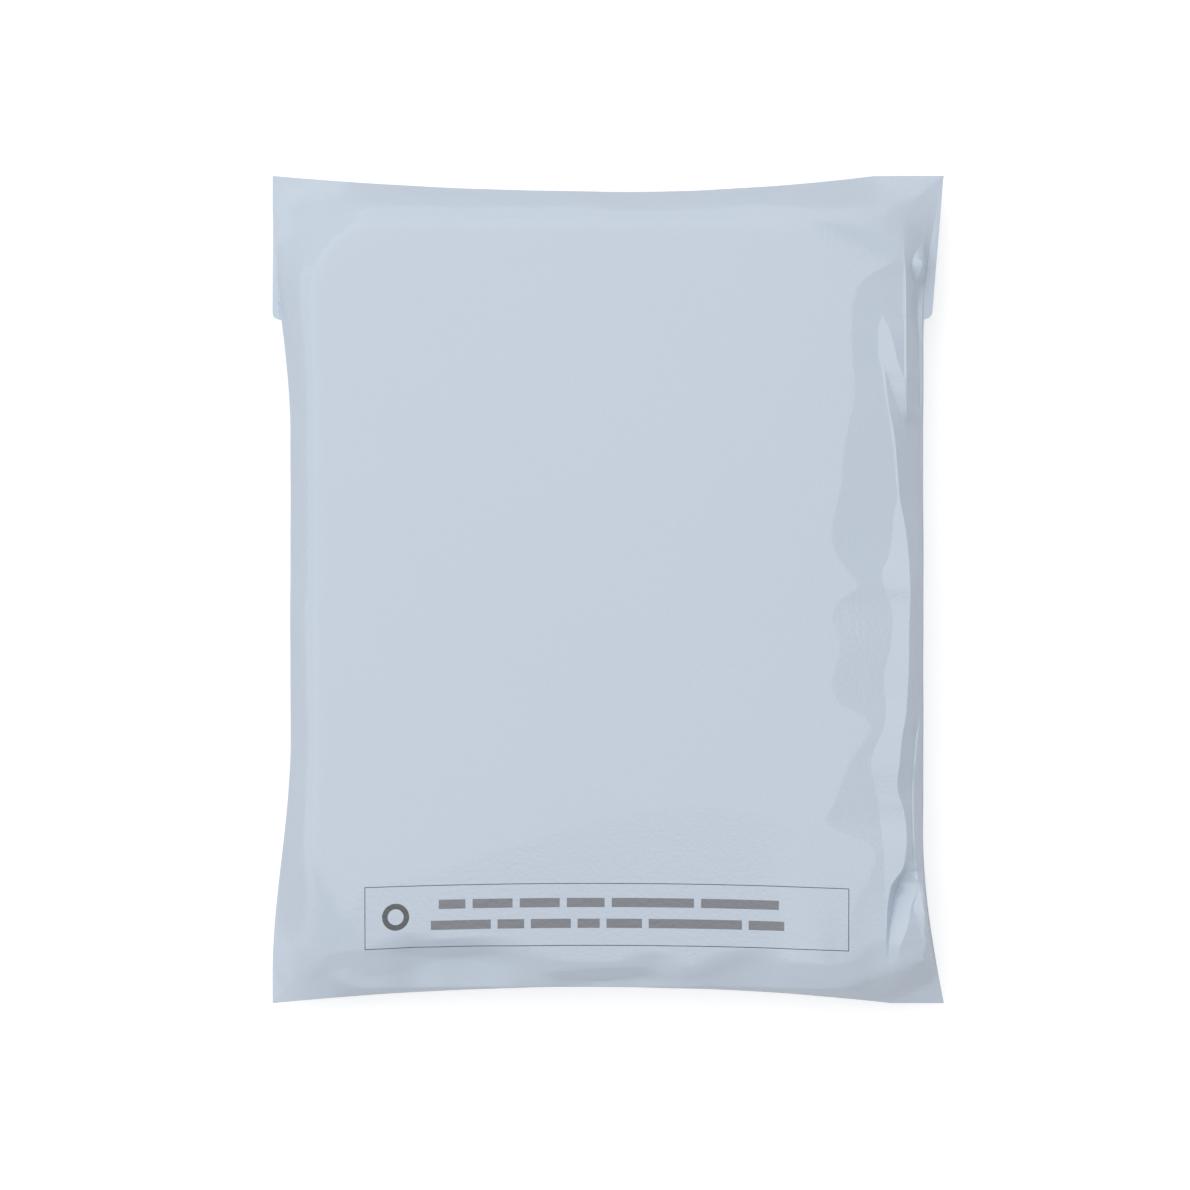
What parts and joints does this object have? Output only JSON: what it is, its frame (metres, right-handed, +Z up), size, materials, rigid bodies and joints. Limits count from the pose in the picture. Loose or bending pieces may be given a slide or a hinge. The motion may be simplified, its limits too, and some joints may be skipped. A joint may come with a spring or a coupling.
{
  "type": "poly mailer bag",
  "caption": "Sealed and filled polythene mailer bag, lying flat: a shallow pillow with drawn-in edges, flat corners, creased sides and its flap glued down on the back.",
  "frame": {"origin": "centre of the footprint, on the surface that the bag lies on", "axes": "+Z up out of the printed front, +Y to the folded top edge that carries the flap, +X across the bag to the right of the print"},
  "size_m": [0.3056, 0.3766, 0.0415],
  "materials": {
    "mailer_film": "pale blue-grey co-extruded polythene film, glossy, with soft creases and a dark grey one-colour print"
  },
  "bodies": {
    "root": {"mailer_bag": "mailer_film"}
  },
  "joints": []
}
